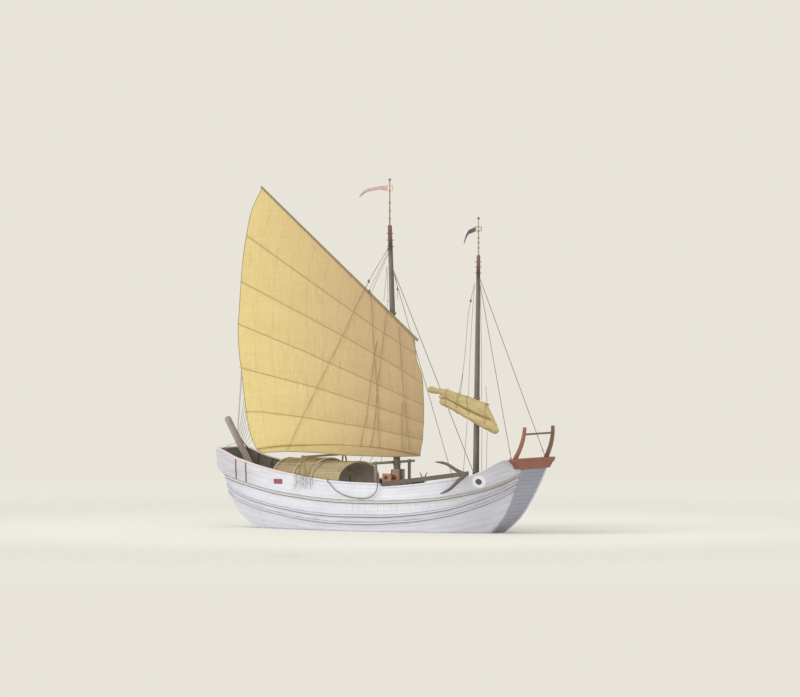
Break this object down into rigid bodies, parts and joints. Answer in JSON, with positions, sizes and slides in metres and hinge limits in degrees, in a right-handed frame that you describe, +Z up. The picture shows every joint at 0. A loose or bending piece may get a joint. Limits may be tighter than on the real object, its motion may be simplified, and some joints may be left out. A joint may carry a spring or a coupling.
{
  "type": "two-masted sailing junk",
  "caption": "Wooden sailing junk with a curved sheer, a ramp bow with a red beam, a mat shed, a set main lugsail, a furled fore sail and a slung rudder.",
  "frame": {"origin": "on the waterline, on the centreline, amidships", "axes": "+X forward to the bow, +Y to port, +Z up"},
  "size_m": [16.4122, 4.3924, 17.2694],
  "materials": {
    "hull_white": "limewashed planks",
    "rail_buff": "painted timber",
    "bow_blue_grey": "painted planks",
    "red_paint": "painted timber",
    "orange_wood": "painted timber",
    "dark_wood": "weathered timber",
    "spar_wood": "oiled spar",
    "rudder_wood": "bare weathered timber",
    "eye_paint": "painted timber",
    "matting": "woven bamboo mat",
    "main_sailcloth": "matting sailcloth",
    "furled_sailcloth": "matting sailcloth",
    "mauve_cloth": "cotton",
    "slate_cloth": "cotton",
    "rope": "laid rope"
  },
  "bodies": {
    "hull": {"hull": "hull_white", "wale_starboard": "rail_buff", "wale_port": "rail_buff", "bulwark_starboard": "hull_white", "bulwark_port": "hull_white", "bow_board": "hull_white", "stern_board": "hull_white", "cap_rail_starboard": "rail_buff", "cap_rail_port": "rail_buff", "cap_rail_stern": "rail_buff", "bow_edge_starboard": "hull_white", "bow_edge_port": "hull_white", "bow_planking": "bow_blue_grey", "bow_beam": "red_paint", "bow_post_starboard": "red_paint", "bow_post_port": "red_paint", "bow_cross_bar": "dark_wood", "eye_starboard": "eye_paint", "eye_port": "eye_paint", "plaque": "red_paint", "mat_shed_aft": "matting", "mat_shed_middle": "matting", "mat_shed_front": "matting", "mast_cheek_starboard": "spar_wood", "mast_cheek_port": "spar_wood", "hatch": "dark_wood", "winch_bearing_outer": "orange_wood", "winch_bearing_inner": "orange_wood", "main_gallows_bar": "spar_wood", "main_gallows_post_starboard": "spar_wood", "main_gallows_post_port": "spar_wood", "aft_gallows_bar": "spar_wood", "aft_gallows_trestle_starboard": "spar_wood", "aft_gallows_trestle_port": "spar_wood", "main_mast": "spar_wood", "fore_mast": "spar_wood", "main_topmast": "red_paint", "fore_topmast": "red_paint", "main_stay_starboard": "rope", "main_stay_port": "rope", "fore_stay_starboard": "rope", "fore_stay_port": "rope", "rudder_beam_upper": "dark_wood", "rudder_beam_lower": "dark_wood", "anchor_shank": "dark_wood", "anchor_arms": "dark_wood", "mooring_rope": "rope"},
    "main_rig": {"main_sail": "main_sailcloth", "main_yard": "spar_wood", "main_boom": "spar_wood"},
    "fore_rig": {"fore_sail": "furled_sailcloth", "fore_yard": "spar_wood"},
    "helm": {"rudder": "rudder_wood", "tiller": "rudder_wood"},
    "winch": {"winch_drum": "dark_wood"},
    "main_vane": {"main_vane_frame": "dark_wood", "main_pennant": "mauve_cloth"},
    "fore_vane": {"fore_vane_frame": "dark_wood", "fore_pennant": "slate_cloth"}
  },
  "joints": [
    {"name": "main_sail_swing", "type": "hinge", "parent": "hull", "child": "main_rig", "pos_m": [0.875, 0, 0], "axis": [-0.0346, 0, 0.9994], "range_deg": [-72, 48]},
    {"name": "fore_sail_swing", "type": "hinge", "parent": "hull", "child": "fore_rig", "pos_m": [4.835, 0, 0], "axis": [0.0133, 0, 0.9999], "range_deg": [-45, 4]},
    {"name": "rudder_turn", "type": "hinge", "parent": "hull", "child": "helm", "pos_m": [-5.277, 0, 0], "axis": [-0.4948, 0, 0.869], "range_deg": [-35, 35]},
    {"name": "winch_turn", "type": "hinge", "parent": "hull", "child": "winch", "pos_m": [0.9, -0.8, 2.43], "axis": [0, 1, 0], "continuous": true},
    {"name": "main_vane_turn", "type": "hinge", "parent": "hull", "child": "main_vane", "pos_m": [0.4, 0, 15.4], "axis": [0, 0, 1], "continuous": true},
    {"name": "fore_vane_turn", "type": "hinge", "parent": "hull", "child": "fore_vane", "pos_m": [5, 0, 13.6], "axis": [0, 0, 1], "continuous": true}
  ]
}
